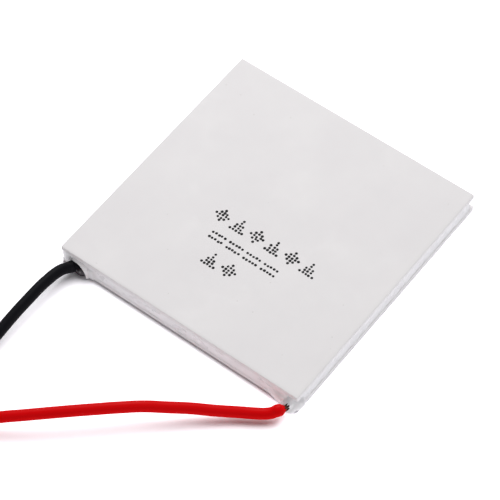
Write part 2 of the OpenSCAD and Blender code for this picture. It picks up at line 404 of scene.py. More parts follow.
def strand_lines(line, diameter, opening=0):
    """A strand along the line and six that twist round it and may open, with the radius of each."""
    r = diameter / 3 / 2  # three strands lie side by side
    runs = distances(line)
    strands = [[] for _ in range(STRANDS)]
    for point, run, (across, up) in zip(line, runs, squares(headings(line))):
        reach = 2 * r * (1 + opening * smooth(*CORE_SPREAD_RUN, runs[-1] - run))
        for number, strand in enumerate(strands):
            turn = 2 * math.pi * (number / STRANDS + run / STRAND_LAY)
            strand.append(point + around(across, up, turn) * reach)
    return [(line, r * (1 + opening))] + [(strand, r * (1 + opening / 2)) for strand in strands]


def core_diameter(side):
    low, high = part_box(f"{side}_tip")
    return (high.z - low.z) / MM


def bare_core(side):
    """The strands, from the solder round the knee and into the sheath."""
    knee = lead_knee(side)
    inner = Vector((lead_origin(side).x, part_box(f"{side}_core")[1].y / MM, knee.z))
    first = knee + (inner - knee).normalized() * KNEE_EASE
    last = knee + EXIT_HEADING * KNEE_EASE
    bend = [first.lerp(knee, u).lerp(knee.lerp(last, u), u) for u in shares(KNEE_STEPS)]
    line = even_line([inner, *bend, sheath_start(side) + EXIT_HEADING * SHEATH_TUCK], STRAND_STEP)
    lines = strand_lines(line, core_diameter(side), CORE_SPREAD[side])
    strands = join([bar(strand, r, CORE_SIDES) for strand, r in lines])
    return mesh_piece(f"{side}_bare_core", *strands, "stranded_core", [f"{side}_core"])


bare_cores = [bare_core(side) for side in LEADS]
print("bare cores:", face_counts(bare_cores), "faces")

# %% [markdown]
# ## Sheath ends
#
# The heat of soldering swells the end of a sheath and shrinks it on the core in front of it. The black
# one keeps a blunt shoulder, and the red one runs out in a long taper. The radius of the lead's curve
# could follow that, but a sleeve of its own leaves the lead an even cord.

# %% Sheath ends
NECK_R = {"negative": 0.55, "positive": 0.3}  # of the shrunk sheath on the core
SWELL = 0.04
SWELL_START = {"negative": (0.55, 0.85), "positive": (-0.15, 0.85)}  # from the knee
SWELL_END = (1.3, 1.9)
SLEEVE_SIDES = 32


def sheath_end(side):
    """A sleeve from the knee to the even part of the sheath, where it sinks into it."""
    colour = LEADS[side]["colour"]
    line = even_line([lead_knee(side), *lead_points(side)[:3]], STRAND_STEP / 2)
    rings = []
    for point, way, run in zip(line, headings(line), distances(line)):
        r = mix((NECK_R[side], wire_r + SWELL), smooth(*SWELL_START[side], run))
        rings.append((point, way, r - 2 * SWELL * smooth(*SWELL_END, run)))
    sleeve = tube(rings, SLEEVE_SIDES)
    return mesh_piece(f"{colour}_sheath_end", *sleeve, f"{colour}_sheath", sharp_over=50)


sheath_ends = {side: sheath_end(side) for side in LEADS}
print("sheath ends:", face_counts(sheath_ends.values()), "faces")

# %% [markdown]
# ## Tinned tips
#
# At the free end the strands are dipped in tin so that they stay together. The same helix makes them,
# and the tin is a bar that fills the hollows between.

# %% Tinned tips
TIP_SIDES = 12
TIN_SIDES = 24
TIN_SHARE = 0.41  # its radius, of the strands' outer diameter
TIN_INSET = 0.1


def tinned_tip(side):
    low, high = (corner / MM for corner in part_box(f"{side}_tip"))
    long_way = max(range(3), key=lambda axis: high[axis] - low[axis])
    start, end = (low + high) / 2, (low + high) / 2
    start[long_way], end[long_way] = low[long_way], high[long_way]
    inward = (end - start).normalized() * TIN_INSET
    diameter = core_diameter(side)
    lines = strand_lines(even_line([start, end], STRAND_STEP), diameter)
    strands = [bar(strand, r, TIP_SIDES) for strand, r in lines]
    tin = bar([start + inward, (start + end) / 2, end - inward], diameter * TIN_SHARE, TIN_SIDES)
    return mesh_piece(f"{side}_tinned_tip", *join([*strands, tin]), "stranded_core", [f"{side}_tip"])


tips = {side: tinned_tip(side) for side in LEADS}
print("tips:", face_counts(tips.values()), "faces")

# %% [markdown]
# ## Ties
#
# A plastic twist tie holds each coil: a flat band round the wires, with a wire in its middle and its
# two ends twisted together. The band's line is a rounded triangle round three wires, worked out from
# their places, and its section is swept along that line. The section is thin at the edges and full
# over its wire.

# %% Ties
TIE_WIDTH = 2.5
TIE_PLAY = 0.1
ARC_STEPS = 10
STRAIGHT_STEPS = 3
TIE_SECTION = [  # share of the half width, share of the thickness
    (-0.97, 0.08), (-1, 0.3), (-0.96, 0.5), (-0.5, 0.56), (-0.3, 0.7), (-0.16, 0.94), (0, 1),
    (0.16, 0.94), (0.3, 0.7), (0.5, 0.56), (0.96, 0.5), (1, 0.3), (0.97, 0.08),
]
TAIL_LENGTH = 5.5
TAIL_LAY = 2.4
TAIL_REACH = 0.32  # of each end from the line that both twist round
TAIL_R = 0.304
TAIL_SIDES = 10
TAIL_DROOP = 0.5
TAIL_SPLAY = 0.9
TAIL_SPLAY_FROM = 0.85  # of the length
TAIL_STEPS = 44
tie_t = coil_low.z - TIE_PLAY


def band_line(side):
    """The band's inner face round three wires, as (radius, z), with the way out at each point."""
    r = LEADS[side]["coil_r"]
    wires = [Vector((r + wire_r, coil_z)), Vector((r, over_z)), Vector((r - wire_r, coil_z))]
    reach = wire_r + TIE_PLAY
    line = []
    for k, wire in enumerate(wires):
        before = wire - wires[k - 1]
        after = wires[(k + 1) % len(wires)] - wire
        first = math.atan2(-before.x, before.y)
        sweep = (math.atan2(-after.x, after.y) - first) % (2 * math.pi)
        for u in shares(ARC_STEPS):
            turn = first + sweep * u
            out = Vector((math.cos(turn), math.sin(turn)))
            line.append((wire + out * reach, out))
        for step in range(1, STRAIGHT_STEPS):
            line.append((wire + after * step / STRAIGHT_STEPS + out * reach, out))
    return line


def tie_tail(side):
    """Two twisted ends, which droop from the band towards the middle of the coil."""
    r = LEADS[side]["coil_r"] - wire_d - TIE_PLAY - tie_t
    at = LEADS[side]["tie_at"]
    inward = (coil_point(side, at, 0, 0) - coil_point(side, at, 1, 0)).normalized()
    sideways = UP.cross(inward)
    ends = []
    for start in (0, math.pi):
        line = []
        for u in shares(TAIL_STEPS):
            middle = coil_point(side, at, r, coil_z - TAIL_DROOP * u * u) + inward * TAIL_LENGTH * u
            turn = start + 2 * math.pi * TAIL_LENGTH * u / TAIL_LAY
            reach = TAIL_REACH * (1 + TAIL_SPLAY * smooth(TAIL_SPLAY_FROM, 1, u))
            line.append(middle + around(sideways, UP, turn) * reach)
        ends.append(bar(line, TAIL_R, TAIL_SIDES))
    return ends


def tie_piece(side):
    lead = LEADS[side]
    half_turn = math.degrees(TIE_WIDTH / 2 / lead["coil_r"])
    line = band_line(side)
    points = []
    for spot, out in line:
        for across, thick in TIE_SECTION:
            reach = spot + out * tie_t * thick
            points.append(coil_point(side, lead["tie_at"] + across * half_turn, reach.x, reach.y))
    band = points, ring_faces(len(line), len(TIE_SECTION), closed=True)
    return mesh_piece(f"{side}_twist_tie", *join([band, *tie_tail(side)]), "tie", [f"{side}_tie"])


ties = {side: tie_piece(side) for side in LEADS}
print("ties:", face_counts(ties.values()), "faces")

# %% [markdown]
# ## Plates
#
# Alumina plates are scored and snapped while hard, so their edges are straight but not clean: the
# arris is worn, and here and there a crumb is missing. A bevel would make every edge the same. Here
# each plate is a stack of square rings, and the rings near an arris follow a little noise and a few
# chips.

# %% Plates
PLATE_STEP = 0.12
PLATE_CORNER = 0.12
PLATE_CORNER_STEPS = 5
ARRIS = 0.05
ARRIS_WAVE = (2, 0.02)  # waves per millimetre, height
EDGE_WAVES = ((0.8, 0.012), (5, 0.005))
CHIPS = 26
CHIP_WIDTH = (0.1, 0.4)
CHIP_DEPTH = (0.03, 0.12)
PLATE_RINGS = [  # inset, share of the arris added to it, height from 0 to 1, share of the arris lost
    (14, 0, 1, 0), (6, 0, 1, 0), (1.5, 0, 1, 0), (0.4, 0, 1, 0), (0, 1, 1, 0), (0, 0.3, 1, 0.3),
    (0, 0, 1, 1), (0, 0, 0.5, 0), (0, 0, 0, 1), (0, 0.3, 0, 0.3), (0, 1, 0, 0), (0.4, 0, 0, 0),
    (1.5, 0, 0, 0), (14, 0, 0, 0),
]


def rounded_square(half, r, step, arc_steps):
    """Points round a square with rounded corners, with the way out at each."""
    spots = []
    straight = half - r
    count = round(2 * straight / step)
    for side in range(4):
        spin = Matrix.Rotation(side * math.pi / 2, 3, "Z")
        out = Vector((0, -1, 0))
        for k in range(count):
            spot = Vector((straight * (2 * k / count - 1), -half, 0))
            spots.append((spin @ spot, spin @ out))
        for k in range(arc_steps):
            out = flat_way(90 * (k / arc_steps - 1))
            spots.append((spin @ (Vector((straight, -straight, 0)) + out * r), spin @ out))
    return spots


def plate_chips(rng, half):
    """Chips at random places along the four edges: where, how wide and how deep."""
    corner = half - PLATE_CORNER
    chips = []
    for _ in range(CHIPS):
        at = Vector((rng.choice((-1, 1)) * half, rng.uniform(-corner, corner), 0))
        at = at if rng.random() < 0.5 else at.yxz
        chips.append((at, rng.uniform(*CHIP_WIDTH), rng.uniform(*CHIP_DEPTH)))
    return chips


def ceramic_plate(name, node, seed):
    low, high = (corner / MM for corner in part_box(node))
    half = high.x
    chips = plate_chips(random.Random(seed), half)
    shift = Vector((0, 0, seed))
    rings = [[] for _ in PLATE_RINGS]
    for spot, _ in rounded_square(half, PLATE_CORNER, PLATE_STEP, PLATE_CORNER_STEPS):
        bulge = sum(height * noise.noise(spot * pace + shift) for pace, height in EDGE_WAVES)
        arris = ARRIS + ARRIS_WAVE[1] * noise.noise(spot * ARRIS_WAVE[0] + shift)
        for at, width, depth in chips:
            arris = max(arris, depth * smooth(width, 0, (spot - at).length))
        for ring, (inset, rounded, level, lost) in zip(rings, PLATE_RINGS):
            share = 1 - (inset + rounded * arris - bulge) / half
            z = low.z + level * (high.z - low.z) + (arris * lost if level < 0.5 else -arris * lost)
            ring.append(Vector((spot.x * share, spot.y * share, z)))
    points = [point for ring in rings for point in ring]
    faces = ring_faces(len(rings), len(rings[0])) + capped(points, len(rings[0]))
    return mesh_piece(name, points, faces, "ceramic", [node], sharp_over=30)


plates = [
    ceramic_plate("cold_ceramic", "cold_plate", seed=3),
    ceramic_plate("hot_ceramic", "hot_plate", seed=8),
]
print("plates:", face_counts(plates), "faces")

# %% [markdown]
# ## The seal
#
# Silicone is wiped into the gap by hand. On three sides it stays back between the plates. On the side
# of the leads it is smeared flush, runs down over the lower plate's edge, and stands out in lumps where
# the leads leave. Sculpting it would leave a mesh that nobody can change. Instead the face of the seal
# is a sheet of points, and one function says how far it stands out at any of them. A lump is an
# ellipsoid that the face is drawn out to, with a soft step where they meet.

# %% Lumps of silicone
SOFTNESS = 0.3
RIPPLES = ((0.9, 0.03), (3.5, 0.012))  # waves per millimetre, height
BLOBS = [  # middle and half axes
    ((-19.2, -19.3, 1.2), (1.1, 0.8, 1.7)),
    ((17.6, -19.7, 0.8), (2.6, 0.8, 1.1)),
    ((18.8, -20.2, 0.75), (1.2, 1.15, 0.75)),
    ((18.75, -20.4, 1.35), (0.75, 0.85, 0.66)),
    ((19.25, -19.2, 0.95), (1.2, 1.15, 1.0)),
    ((17.3, -19.9, 1.3), (0.5, 0.45, 0.4)),
]
LUMPS = 26
LUMP_X = (-18, 18)
LUMP_Z = (0.5, 2.3)
LUMP_BACK = 0.1  # of its middle from the plates' edge
LUMP_HALF = ((0.2, 0.7), (0.1, 0.16), (0.15, 0.4))  # limits of its half axes


def small_lumps(seed):
    """Low lumps along the side of the leads, where the silicone was wiped."""
    rng = random.Random(seed)
    lumps = []
    for _ in range(LUMPS):
        middle = Vector((rng.uniform(*LUMP_X), plate_low.y + LUMP_BACK, rng.uniform(*LUMP_Z)))
        lumps.append((middle, Vector([rng.uniform(*limits) for limits in LUMP_HALF])))
    return lumps


def blob_reach(spot, out, middle, half):
    """How far out of the spot an ellipsoid's surface lies, or None if the way out misses it."""
    away = spot - middle
    a = sum((n / h) ** 2 for n, h in zip(out, half))
    b = sum(n * q / h**2 for n, q, h in zip(out, away, half))
    c = sum((q / h) ** 2 for q, h in zip(away, half)) - 1
    return (-b + math.sqrt(b * b - a * c)) / a if b * b > a * c else None


def soft_max(a, b):
    share = min(max(0.5 + 0.5 * (a - b) / SOFTNESS, 0), 1)
    return b + (a - b) * share + SOFTNESS * share * (1 - share)


def with_blobs(reach, spot, out, chosen):
    """A reach that blobs of silicone and its ripples add to."""
    for middle, half in chosen:
        blob = blob_reach(spot, out, middle, half)
        if blob is not None:
            reach = soft_max(reach, blob)
    return reach + sum(height * noise.noise(spot * pace) for pace, height in RIPPLES)


seal_blobs = [(Vector(middle), Vector(half)) for middle, half in BLOBS] + small_lumps(seed=4)
print("lumps:", len(seal_blobs))

# %% Seal
SEAL_STEP = 0.1
SEAL_CORNER = 1
SEAL_CORNER_STEPS = 16
SEAL_ROWS = 26
SEAL_FOOT = 0.12
SEAL_LAP = 0.02  # over the upper plate's lower face
SEAL_TUCK = -0.3
SEAL_BACK = -0.95
SEAL_INSET = (0.05, 0.36)  # at the lower and at the upper plate
SEAL_HOLLOW = 0.06
LEAD_FACING = (0.5, 0.95)  # of the way out along -Y, where the leads' side starts and is full
LEAD_INSET = 0.06
LEAD_HOLLOW = 0.05
BURIED = 0.08
FILM_T = 0.035
FILM_EDGE = 0.42
FILM_FADE = 0.1
FILM_WAVE = (0.5, 0.3)  # waves per millimetre, height
FILM_SLICE = 14  # of the noise that shapes its edge
POCKETS = [  # where x and z fade in and out again, and depth
    ((-17.9, -17.4, -16.9, -16.4), (0.2, 0.5, 1.8, 2.2), 0.6),
    ((18.2, 18.6, 21, 22), (1.4, 1.8, 3, 4), 0.84),
]
hot_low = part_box("hot_plate")[0].z / MM
gap_middle = (plate_high.z + hot_low) / 2
gap_half = (hot_low - plate_high.z) / 2
seal_top = hot_low + SEAL_LAP
seal_heights = [mix((seal_top, SEAL_FOOT), u) for u in shares(SEAL_ROWS - 1)]


def window(value, start, full, fade, end):
    """0 up to start, 1 from full to fade, and 0 again from end on."""
    return smooth(start, full, value) * smooth(end, fade, value)


def seal_reach(spot, out):
    """How far the silicone stands out of the plates' outline."""
    lead_side = smooth(*LEAD_FACING, -out.y)
    u = min(max((spot.z - gap_middle) / gap_half, -1), 1)
    plain = -mix(SEAL_INSET, (u + 1) / 2) - SEAL_HOLLOW * (1 - u * u)
    wiped = -LEAD_INSET - LEAD_HOLLOW * (1 - u * u)
    reach = mix((plain, wiped), lead_side)
    if spot.z < plate_high.z:
        pace, height = FILM_WAVE
        edge = FILM_EDGE + height * noise.noise(Vector((spot.x, spot.y, FILM_SLICE)) * pace)
        film = smooth(edge - FILM_FADE, edge + FILM_FADE, spot.z) * lead_side
        reach = mix((-BURIED, FILM_T), film)
    for across, upwards, depth in POCKETS:
        reach -= depth * window(spot.x, *across) * window(spot.z, *upwards) * lead_side
    return with_blobs(reach, spot, out, seal_blobs)


def seal_piece():
    """The face of the seal all round, closed at the back."""
    spots = rounded_square(plate_high.x, SEAL_CORNER, SEAL_STEP, SEAL_CORNER_STEPS)
    back = [
        (SEAL_TUCK, SEAL_FOOT), (SEAL_TUCK, plate_high.z), (SEAL_BACK, plate_high.z), (SEAL_BACK, seal_top),
    ]
    points = []
    for spot, out in spots:
        for z in seal_heights:
            at = Vector((spot.x, spot.y, z))
            points.append(at + out * seal_reach(at, out))
        points += [Vector((spot.x, spot.y, z)) + out * inset for inset, z in back]
    faces = ring_faces(len(spots), SEAL_ROWS + len(back), closed=True)
    return mesh_piece("silicone_seal", points, faces, "silicone", ["edge_seal"], sharp_over=70)


seal = seal_piece()
print("seal:", len(seal.data.polygons), "faces")

# %% [markdown]
# ## The bead of the black lead
#
# The black lead leaves through a hollow in the silicone, with a raised lip round it and a drop at its
# bottom. The hollow and the drop are painted dark, as painted shade. A deep hollow would stretch the
# sheet of the seal, so this bead is a second sheet that stands in a pocket of the first. It uses the
# same lumps: its lip is a row of them along an arc.

# %% Exit bead
BEAD_X = (-19, -14.4)
BEAD_STEP = 0.06
BEAD_BACK = -1
BEAD_SINK = -0.9
BEAD_WALL = -0.5
BEAD_RISE = 0.15  # above the lower plate, where the film turns into the wall
BEAD_FILM = 0.06
BEAD_WIDTH = (-18.3, -17.7, -15.3, -14.8)
BEAD_MOUND = (Vector((-15.0, -19.7, 0.6)), Vector((1.0, 0.55, 1.3)))
BEAD_DROP = (Vector((-16.85, -19.9, 0.2)), Vector((1.0, 0.75, 0.75)))
LIP_MIDDLE = (-17.1, 0.1)
LIP_R = (1.65, 2.3)
LIP_TURN = (-25, 90)
LIP_STEPS = 24
LIP_HALF = 0.24
LIP_DEPTH = (0.24, 0.5)  # at its top and at its foot


def lip_blobs():
    """A row of blobs along an ellipse, which stand out more towards its foot."""
    row = []
    for u in shares(LIP_STEPS):
        turn = math.radians(mix(LIP_TURN, u))
        x, z = LIP_MIDDLE[0] + LIP_R[0] * math.sin(turn), LIP_MIDDLE[1] + LIP_R[1] * math.cos(turn)
        row.append((Vector((x, plate_low.y, z)), Vector((LIP_HALF, mix(LIP_DEPTH, u), LIP_HALF))))
    return row


def bead_piece():
    """The wall that the black lead comes out of, with its lip and its drop."""
    count = round((BEAD_X[1] - BEAD_X[0]) / BEAD_STEP)
    blobs = [BEAD_MOUND, BEAD_DROP, *lip_blobs()]
    out = Vector((0, -1, 0))
    points = []
    for u in shares(count):
        x = mix(BEAD_X, u)
        film = mix((BEAD_SINK, BEAD_FILM), window(x, *BEAD_WIDTH))
        for z in seal_heights:
            spot = Vector((x, plate_low.y, z))
            wall = mix((film, BEAD_WALL), smooth(plate_high.z, plate_high.z + BEAD_RISE, z))
            points.append(spot + out * with_blobs(wall, spot, out, blobs))
        points += [Vector((x, plate_low.y - BEAD_BACK, z)) for z in (SEAL_FOOT, seal_top)]
    sides = len(points) // (count + 1)
    faces = ring_faces(count + 1, sides) + capped(points, sides)
    return mesh_piece("exit_bead", points, faces, "silicone", sharp_over=70)


bead = bead_piece()
print("exit bead:", len(bead.data.polygons), "faces")

# %% [markdown]
# ## Ink
#
# Such plates are marked by a dot printer, and here it has printed rows of plain shapes. A texture
# could carry them, but drops of ink have a thickness and uneven places, so each is a small low dome.

# %% Ink
DIAMOND = ("..#..", ".###.", "#####", ".###.", "..#..")
TRIANGLE = ("..#..", "..#..", ".###.", ".###.", "#####")
BAR = (".....", "#####", ".....", "#####", ".....")
INK_ROWS = [  # first place and the shapes that follow
    ((-6.5, -2.1), (DIAMOND, TRIANGLE, DIAMOND, TRIANGLE, DIAMOND, TRIANGLE)),
    ((-4.9, -5.4), (BAR, BAR, BAR, BAR)),
    ((-3.3, -8.7), (TRIANGLE, DIAMOND)),
]
INK_SPACING = 2.95
DOT_PITCH = (0.5, 0.46)
DOT_R = 0.21
DOT_SIZES = (0.88, 1.1)  # smallest and largest share of that radius
DOT_JITTER = 0.03
DOT_SIDES = 12
DOT_PROFILE = ((1, -0.004), (0.97, 0.006), (0.75, 0.012), (0.35, 0.015))  # share of the radius, height


def ink_dot(middle, r):
    ways = [flat_way(360 * k / DOT_SIDES) for k in range(DOT_SIDES)]
    points = [middle + way * r * share + UP * height for share, height in DOT_PROFILE for way in ways]
    return points, ring_faces(len(DOT_PROFILE), DOT_SIDES) + capped(points, DOT_SIDES)


def dot_places():
    """Where each mark of each shape goes on the plate."""
    places = []
    for (x, y), shapes in INK_ROWS:
        for number, shape in enumerate(shapes):
            for row, marks in enumerate(shape):
                for column in (k for k, mark in enumerate(marks) if mark == "#"):
                    right = x + number * INK_SPACING + column * DOT_PITCH[0]
                    places.append((right, y - row * DOT_PITCH[1]))
    return places


def ink_dots(seed):
    rng = random.Random(seed)
    face_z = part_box("hot_plate")[1].z / MM
    dots = []
    for x, y in dot_places():
        middle = Vector((x + rng.gauss(0, DOT_JITTER), y + rng.gauss(0, DOT_JITTER), face_z))
        dots.append(ink_dot(middle, DOT_R * rng.uniform(*DOT_SIZES)))
    return dots


dots = ink_dots(seed=5)
ink = mesh_piece("ink_marks", *join(dots), sharp_over=70)
print("ink:", len(dots), "dots")

# %% [markdown]
# ## Shared effects
#
# Real surfaces are never one flat value. Several of the materials below need the same small effects:
# grain, mottling, smudges, specks. Each effect is a node group with its size in millimetres as an
# input, so a material only says how large its effect is and what it does there. Image textures would
# need unwrapped meshes and would blur up close.

# %% Node helpers
def add(tree, kind, inputs=(), **settings):
    """The outputs of a new shader node; an input takes a socket or a constant."""
    node = tree.nodes.new(f"ShaderNode{kind}")
    for name, value in settings.items():
        setattr(node, name, value)
    for name, value in dict(inputs).items():
        if isinstance(value, bpy.types.NodeSocket):
            tree.links.new(value, node.inputs[name])
        else:
            node.inputs[name].default_value = value
    return node.outputs


# A socket's id_data is the node tree that it belongs to.
def ramp(value, low, high, to_low=0, to_high=1):
    limits = {"From Min": low, "From Max": high, "To Min": to_low, "To Max": to_high}
    return add(value.id_data, "MapRange", {"Value": value, **limits})["Result"]


def blend(share, a, b):
    return add(share.id_data, "Mix", {0: share, 6: a, 7: b}, data_type="RGBA")[2]


def math_node(operation, a, b):
    tree = (a if isinstance(a, bpy.types.NodeSocket) else b).id_data
    return add(tree, "Math", {0: a, 1: b}, operation=operation)["Value"]


def place_on(tree):
    """The place on the object, in metres."""
    return add(tree, "TexCoord")["Object"]


def pace_of(size):
    """The texture scale that gives details of a size in millimetres."""
    return math_node("DIVIDE", 1 / MM, size)


def effect(name, inputs, outputs):
    """An empty node group, with its inputs and the sockets its results go to."""
    tree = bpy.data.node_groups.new(name, "ShaderNodeTree")
    for label, value in inputs.items():
        socket = tree.interface.new_socket(label, in_out="INPUT", socket_type="NodeSocketFloat")
        socket.default_value = value
    for label in outputs:
        tree.interface.new_socket(label, in_out="OUTPUT", socket_type="NodeSocketFloat")
    return tree, tree.nodes.new("NodeGroupInput").outputs, tree.nodes.new("NodeGroupOutput").inputs


print("node helpers: ready")

# %% Effects
SMUDGE_START = 0.85  # of the noise, with no cover
SMUDGE_GAIN = 0.6  # by which a full cover lowers that
SMUDGE_FADE = 0.2
SPECK_EDGE = (0.16, 0.1)  # from a cell's middle, where a speck starts and where it is full
SAW_STRETCH = (1, 1, 0.06)
UPRIGHT = (0.6, 0.2)  # of the normal along Z, where a side starts and is full


def grain_effect():
    tree, given, result = effect("grain", {"Grain Size": 0.1, "Mottle Size": 3}, ["Grain", "Mottle"])
    place = place_on(tree)
    for label in ("Grain", "Mottle"):
        detail = {"Scale": pace_of(given[f"{label} Size"]), "Detail": 3}
        cloud = add(tree, "TexNoise", {"Vector": place, **detail})
        tree.links.new(cloud["Fac"], result[label])
    return tree


def smudge_effect():
    tree, given, result = effect("smudges", {"Size": 4, "Cover": 0.5}, ["Smudge"])
    detail = {"Scale": pace_of(given["Size"]), "Detail": 5, "Roughness": 0.6, "Distortion": 0.8}
    cloud = add(tree, "TexNoise", {"Vector": place_on(tree), **detail})["Fac"]
    start = math_node("SUBTRACT", SMUDGE_START, math_node("MULTIPLY", given["Cover"], SMUDGE_GAIN))
    full = math_node("ADD", start, SMUDGE_FADE)
    tree.links.new(ramp(cloud, start, full), result["Smudge"])
    return tree


def speck_effect():
    tree, given, result = effect("specks", {"Size": 1, "Share": 0.1}, ["Speck"])
    cells = add(tree, "TexVoronoi", {"Vector": place_on(tree), "Scale": pace_of(given["Size"])})
    number = add(tree, "SeparateColor", {"Color": cells["Color"]})["Red"]
    chosen = math_node("LESS_THAN", number, given["Share"])
    near = ramp(cells["Distance"], *SPECK_EDGE)
    tree.links.new(math_node("MULTIPLY", chosen, near), result["Speck"])
    return tree


def saw_line_effect():
    """Fine upright lines on the sides of a plate or a leg, as a saw leaves them."""
    tree, given, result = effect("saw lines", {"Size": 0.1}, ["Line"])
    flat = add(tree, "VectorMath", {0: place_on(tree), 1: SAW_STRETCH}, operation="MULTIPLY")["Vector"]
    lines = add(tree, "TexNoise", {"Vector": flat, "Scale": pace_of(given["Size"]), "Detail": 2})
    normal = add(tree, "NewGeometry")["Normal"]
    height = add(tree, "SeparateXYZ", {"Vector": normal})["Z"]
    side = ramp(math_node("ABSOLUTE", height, 0), *UPRIGHT)
    tree.links.new(math_node("MULTIPLY", lines["Fac"], side), result["Line"])
    return tree


GRAIN, SMUDGES, SPECKS, SAW_LINES = grain_effect(), smudge_effect(), speck_effect(), saw_line_effect()
print("effects:", [tree.name for tree in (GRAIN, SMUDGES, SPECKS, SAW_LINES)])

# %% [markdown]
# ## White materials
#
# Alumina is matt and a little pink, with grey inclusions and scribed edges. Silicone rubber is
# smoother and lets some light in, so its lumps look soft. What sets two whites apart is mostly their
# gloss and the way light spreads under the surface, not their colour.

# %% Material helpers
CLOUD = (0.3, 0.7)  # between which most of a noise texture's values lie


def material(name, **constants):
    """A material with constants on its shader's inputs; underscores stand for spaces."""
    made = bpy.data.materials.new(name)
    made.use_nodes = True
    shader = made.node_tree.nodes["Principled BSDF"]
    for label, value in constants.items():
        shader.inputs[label.replace("_", " ")].default_value = value
    return made, made.node_tree, shader.inputs


def group(tree, effect_tree, **sizes):
    """The outputs of an effect in a material."""
    labels = {label.replace("_", " "): value for label, value in sizes.items()}
    return add(tree, "Group", labels, node_tree=effect_tree)


def surface(inputs, colour, roughness, height, depth, strength=1):
    """Give a shader its colour, its roughness and a relief that is so many millimetres deep."""
    tree = colour.id_data
    relief = add(tree, "Bump", {"Strength": strength, "Distance": depth * MM, "Height": height})
    tree.links.new(colour, inputs["Base Color"])
    tree.links.new(roughness, inputs["Roughness"])
    tree.links.new(relief["Normal"], inputs["Normal"])


def paint(made, *objects):
    for piece in objects:
        piece.data.materials.clear()
        piece.data.materials.append(made)


print("material helpers: ready")

# %% Ceramic
ALUMINA = ((0.785, 0.762, 0.772, 1), (0.812, 0.79, 0.797, 1))
SAWN_ALUMINA = (0.74, 0.735, 0.74, 1)
INCLUSION = (0.5, 0.47, 0.45, 1)
# Painted shade: the plates' sides are painted darker towards the bench, in their lowest 0.22 mm.
PAINTED_FOOT_SHADE = (0.26, 0.25, 0.265, 1)
FOOT_SHADE_HEIGHT = 0.22  # above the bench
FOOT_SHADE_SHARE = 0.8


def ceramic():
    made, tree, inputs = material("alumina", Specular_IOR_Level=0.3)
    grain = group(tree, GRAIN, Grain_Size=0.07, Mottle_Size=6)
    smudge = group(tree, SMUDGES, Size=5, Cover=0.45)["Smudge"]
    speck = group(tree, SPECKS, Size=0.9, Share=0.06)["Speck"]
    line = group(tree, SAW_LINES, Size=0.14)["Line"]
    colour = blend(ramp(grain["Mottle"], *CLOUD), *ALUMINA)
    colour = blend(ramp(line, 0.2, 0.9, 0, 0.6), colour, SAWN_ALUMINA)
    colour = blend(ramp(speck, 0, 1, 0, 0.25), colour, INCLUSION)
    height = add(tree, "SeparateXYZ", {"Vector": place_on(tree)})["Z"]
    # Painted shade along the foot of the plates, darker towards the bench.
    colour = blend(ramp(height, FOOT_SHADE_HEIGHT * MM, 0, 0, FOOT_SHADE_SHARE), colour, PAINTED_FOOT_SHADE)
    roughness = ramp(smudge, 0, 1, 0.55, 0.45)
    surface(inputs, colour, roughness, math_node("ADD", grain["Grain"], line), 0.008)
    return made


paint(ceramic(), *plates)
print("ceramic:", plates[0].data.materials[0].name)

# %% Silicone
SILICONE = ((0.80, 0.785, 0.805, 1), (0.86, 0.85, 0.87, 1))
CRUMB = (0.6, 0.58, 0.6, 1)
# Painted shade: a dark colour for the hollow round the black lead and for its drop.
PAINTED_HOLLOW_SHADE = (0.035, 0.027, 0.036, 1)
HOLLOW_SHADE_FRONT = (-0.8, -0.7)  # from the plates' edge, where the painted shade starts and where it is full
HOLLOW_SHADE_LEFT = (-18.2, -17.9)
HOLLOW_SHADE_ROUND = (0.9, 0.72)  # of the lip's ellipse, squared


def hollow_shade_mask(tree):
    """1 in the hollow round the black lead, where shade is painted in dark, and 0 on its lip."""
    where = add(tree, "SeparateXYZ", {"Vector": place_on(tree)})
    deep = ramp(where["Y"], *((plate_low.y + y) * MM for y in HOLLOW_SHADE_FRONT))
    across = ramp(where["X"], *(x * MM for x in HOLLOW_SHADE_LEFT))
    rounds = []
    for axis, middle, r in zip("XZ", LIP_MIDDLE, LIP_R):
        share = math_node("DIVIDE", math_node("SUBTRACT", where[axis], middle * MM), r * MM)
        rounds.append(math_node("MULTIPLY", share, share))
    inside = ramp(math_node("ADD", *rounds), *HOLLOW_SHADE_ROUND)
    return math_node("MULTIPLY", math_node("MULTIPLY", deep, across), inside)


def silicone(name, shaded_hollow):
    made, tree, inputs = material(
        name, Specular_IOR_Level=0.45, Subsurface_Weight=0.2, Subsurface_Scale=1.5 * MM,
        Subsurface_Radius=(1, 0.9, 0.95),
    )
    grain = group(tree, GRAIN, Grain_Size=0.25, Mottle_Size=1.6)
    speck = group(tree, SPECKS, Size=0.7, Share=0.08)["Speck"]
    colour = blend(ramp(grain["Mottle"], *CLOUD), *SILICONE)
    colour = blend(ramp(speck, 0, 1, 0, 0.3), colour, CRUMB)
    # Painted shade: the hollow round the black lead and its drop are painted dark.
    if shaded_hollow:
        colour = blend(hollow_shade_mask(tree), colour, PAINTED_HOLLOW_SHADE)
    roughness = ramp(grain["Mottle"], *CLOUD, 0.24, 0.4)
    relief = math_node("SUBTRACT", grain["Grain"], speck)
    surface(inputs, colour, roughness, relief, 0.02, strength=0.7)
    return made


paint(silicone("silicone", shaded_hollow=False), seal)
paint(silicone("silicone_painted_shade", shaded_hollow=True), bead)
print("silicone:", [piece.data.materials[0].name for piece in (seal, bead)])

# %% [markdown]
# ## Sheaths, ties and ink
#
# The sheaths are pulled from a die, so they are even, a little waxy, and dusty where they were held.
# They hardly shine: a high gloss would turn the black lead grey under a white sky.

# %% Plastics and ink
SHEATHS = {  # clean, dusty
    "black": ((0.006, 0.006, 0.008, 1), (0.014, 0.014, 0.018, 1)),
    "red": ((0.70, 0.0025, 0.004, 1), (0.62, 0.006, 0.009, 1)),
}
TIE_WHITE = ((0.82, 0.82, 0.80, 1), (0.72, 0.71, 0.68, 1))
INK_BLACK = ((0.006, 0.006, 0.007, 1), (0.025, 0.025, 0.028, 1))  # thick, thin


